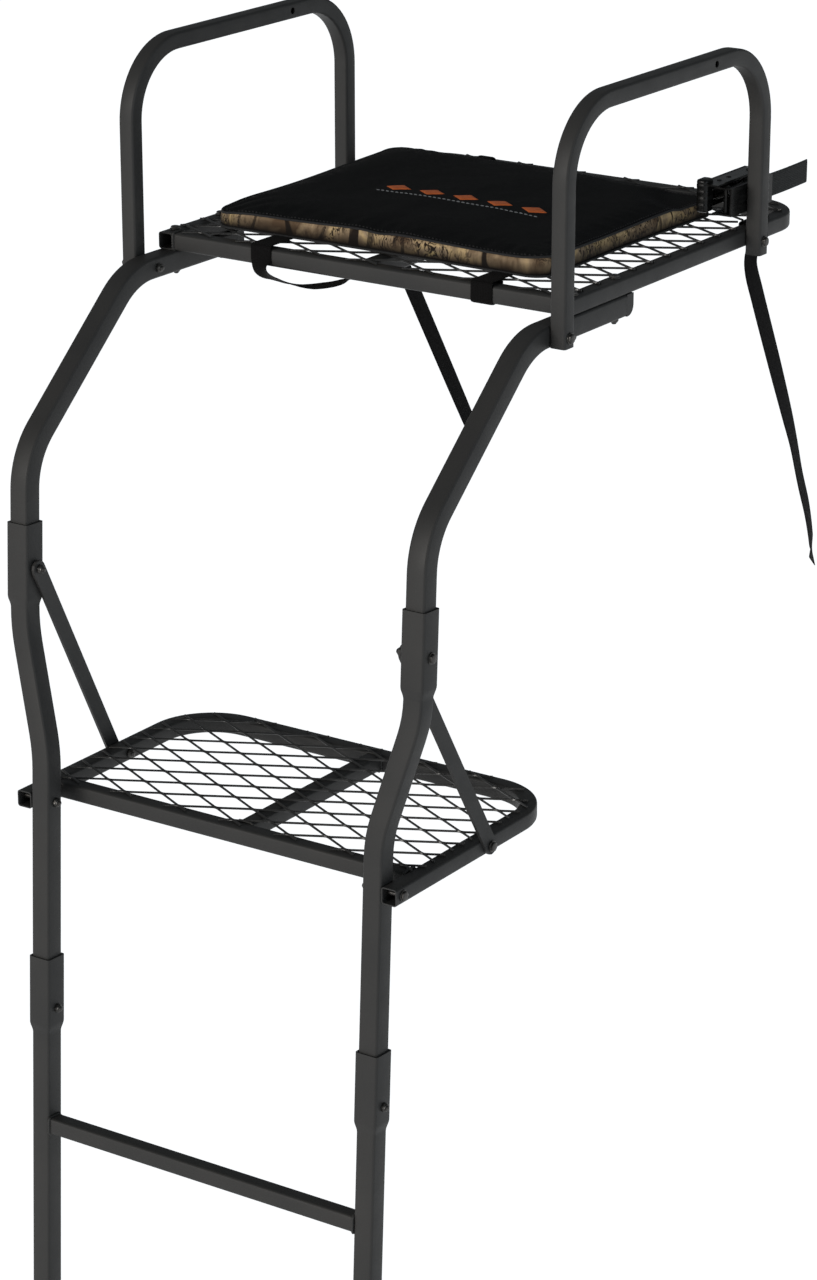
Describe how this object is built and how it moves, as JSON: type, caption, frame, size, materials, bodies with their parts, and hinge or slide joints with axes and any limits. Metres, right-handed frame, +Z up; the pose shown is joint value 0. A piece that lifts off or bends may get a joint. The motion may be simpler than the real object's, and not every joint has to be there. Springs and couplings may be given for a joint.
{
  "type": "ladder tree stand",
  "caption": "Two-rail ladder with bolted sections, a mesh foot platform, a mesh seat with a cushion between tube armrests, and a ratchet strap to hold it to a tree.",
  "frame": {"origin": "middle of the seat frame's flat rear face, where the stand bears on the tree trunk", "axes": "+X to the sitter's left when seated facing -Y (the ladder's right side seen from the front), +Y towards the tree, +Z up"},
  "size_m": [0.6122, 1.1691, 4.6276],
  "materials": {
    "powder_coat": "satin charcoal powder coat with a slight orange peel",
    "expanded_metal": "satin black powder coat on expanded steel",
    "fastener": "black zinc hexagon bolts",
    "ratchet_steel": "gloss black plated steel",
    "plastic": "matte black moulded plastic",
    "webbing": "woven black polypropylene webbing",
    "cushion_fabric": "black woven polyester with a printed bark-pattern edge"
  },
  "bodies": {
    "stand": {"ladder_1_rail_left": "powder_coat", "ladder_1_rail_right": "powder_coat", "ladder_1_rung_1": "powder_coat", "ladder_1_rung_2": "powder_coat", "ladder_1_rung_3": "powder_coat", "ladder_2_rail_left": "powder_coat", "ladder_2_rail_right": "powder_coat", "ladder_2_rung_1": "powder_coat", "ladder_2_rung_2": "powder_coat", "ladder_2_rung_3": "powder_coat", "ladder_3_rail_left": "powder_coat", "ladder_3_rail_right": "powder_coat", "ladder_3_rung_1": "powder_coat", "ladder_3_rung_2": "powder_coat", "ladder_3_rung_3": "powder_coat", "platform_frame": "powder_coat", "platform_front_tube": "powder_coat", "platform_centre_bar": "powder_coat", "platform_rail_left": "powder_coat", "platform_rail_right": "powder_coat", "upper_rail_left": "powder_coat", "upper_rail_right": "powder_coat", "strut_left": "powder_coat", "strut_right": "powder_coat", "rail_end_cap_left": "powder_coat", "rail_end_cap_right": "powder_coat", "seat_frame": "powder_coat", "seat_front_tube": "powder_coat", "seat_centre_bar": "powder_coat", "armrest_left": "powder_coat", "armrest_right": "powder_coat", "platform_mesh": "expanded_metal", "seat_mesh": "expanded_metal", "armrest_bolt_front_left": "fastener", "armrest_bolt_front_right": "fastener", "armrest_bolt_rear_left": "fastener", "armrest_bolt_rear_right": "fastener", "platform_bolt_left": "fastener", "platform_bolt_right": "fastener", "socket_bolt_left": "fastener", "socket_bolt_right": "fastener", "strut_bolt_left": "fastener", "strut_bolt_right": "fastener", "seat_bolt_front_left": "fastener", "seat_bolt_front_right": "fastener", "seat_bolt_rear_left": "fastener", "seat_bolt_rear_right": "fastener", "ratchet_frame": "ratchet_steel", "foot_cap_left": "plastic", "foot_cap_right": "plastic", "cushion": "cushion_fabric", "cushion_strap_left": "webbing", "cushion_strap_right": "webbing", "stabilizer_strap_left": "webbing", "stabilizer_strap_right": "webbing", "ratchet_strap": "webbing"},
    "ratchet_spool": {"ratchet_spool": "ratchet_steel"},
    "ratchet_handle": {"ratchet_handle": "ratchet_steel"},
    "ratchet_drive_pawl": {"ratchet_drive_pawl": "ratchet_steel"},
    "ratchet_lock_pawl": {"ratchet_lock_pawl": "ratchet_steel"}
  },
  "joints": [
    {"name": "ratchet_handle_swing", "type": "hinge", "parent": "stand", "child": "ratchet_handle", "pos_m": [0.2615, -0.107, 0.0485], "axis": [0, 0, -1], "range_deg": [0, 110]},
    {"name": "ratchet_spool_turn", "type": "hinge", "parent": "stand", "child": "ratchet_spool", "pos_m": [0.2615, -0.107, 0.0485], "axis": [0, 0, 1], "continuous": true},
    {"name": "drive_pawl_slide", "type": "slide", "parent": "ratchet_handle", "child": "ratchet_drive_pawl", "axis": [0, -1, 0], "range_m": [0, 0.004], "stiffness_N_per_m": 300, "springref_m": -0.002},
    {"name": "lock_pawl_slide", "type": "slide", "parent": "stand", "child": "ratchet_lock_pawl", "axis": [0, -1, 0], "range_m": [0, 0.004], "stiffness_N_per_m": 300, "springref_m": -0.002}
  ]
}
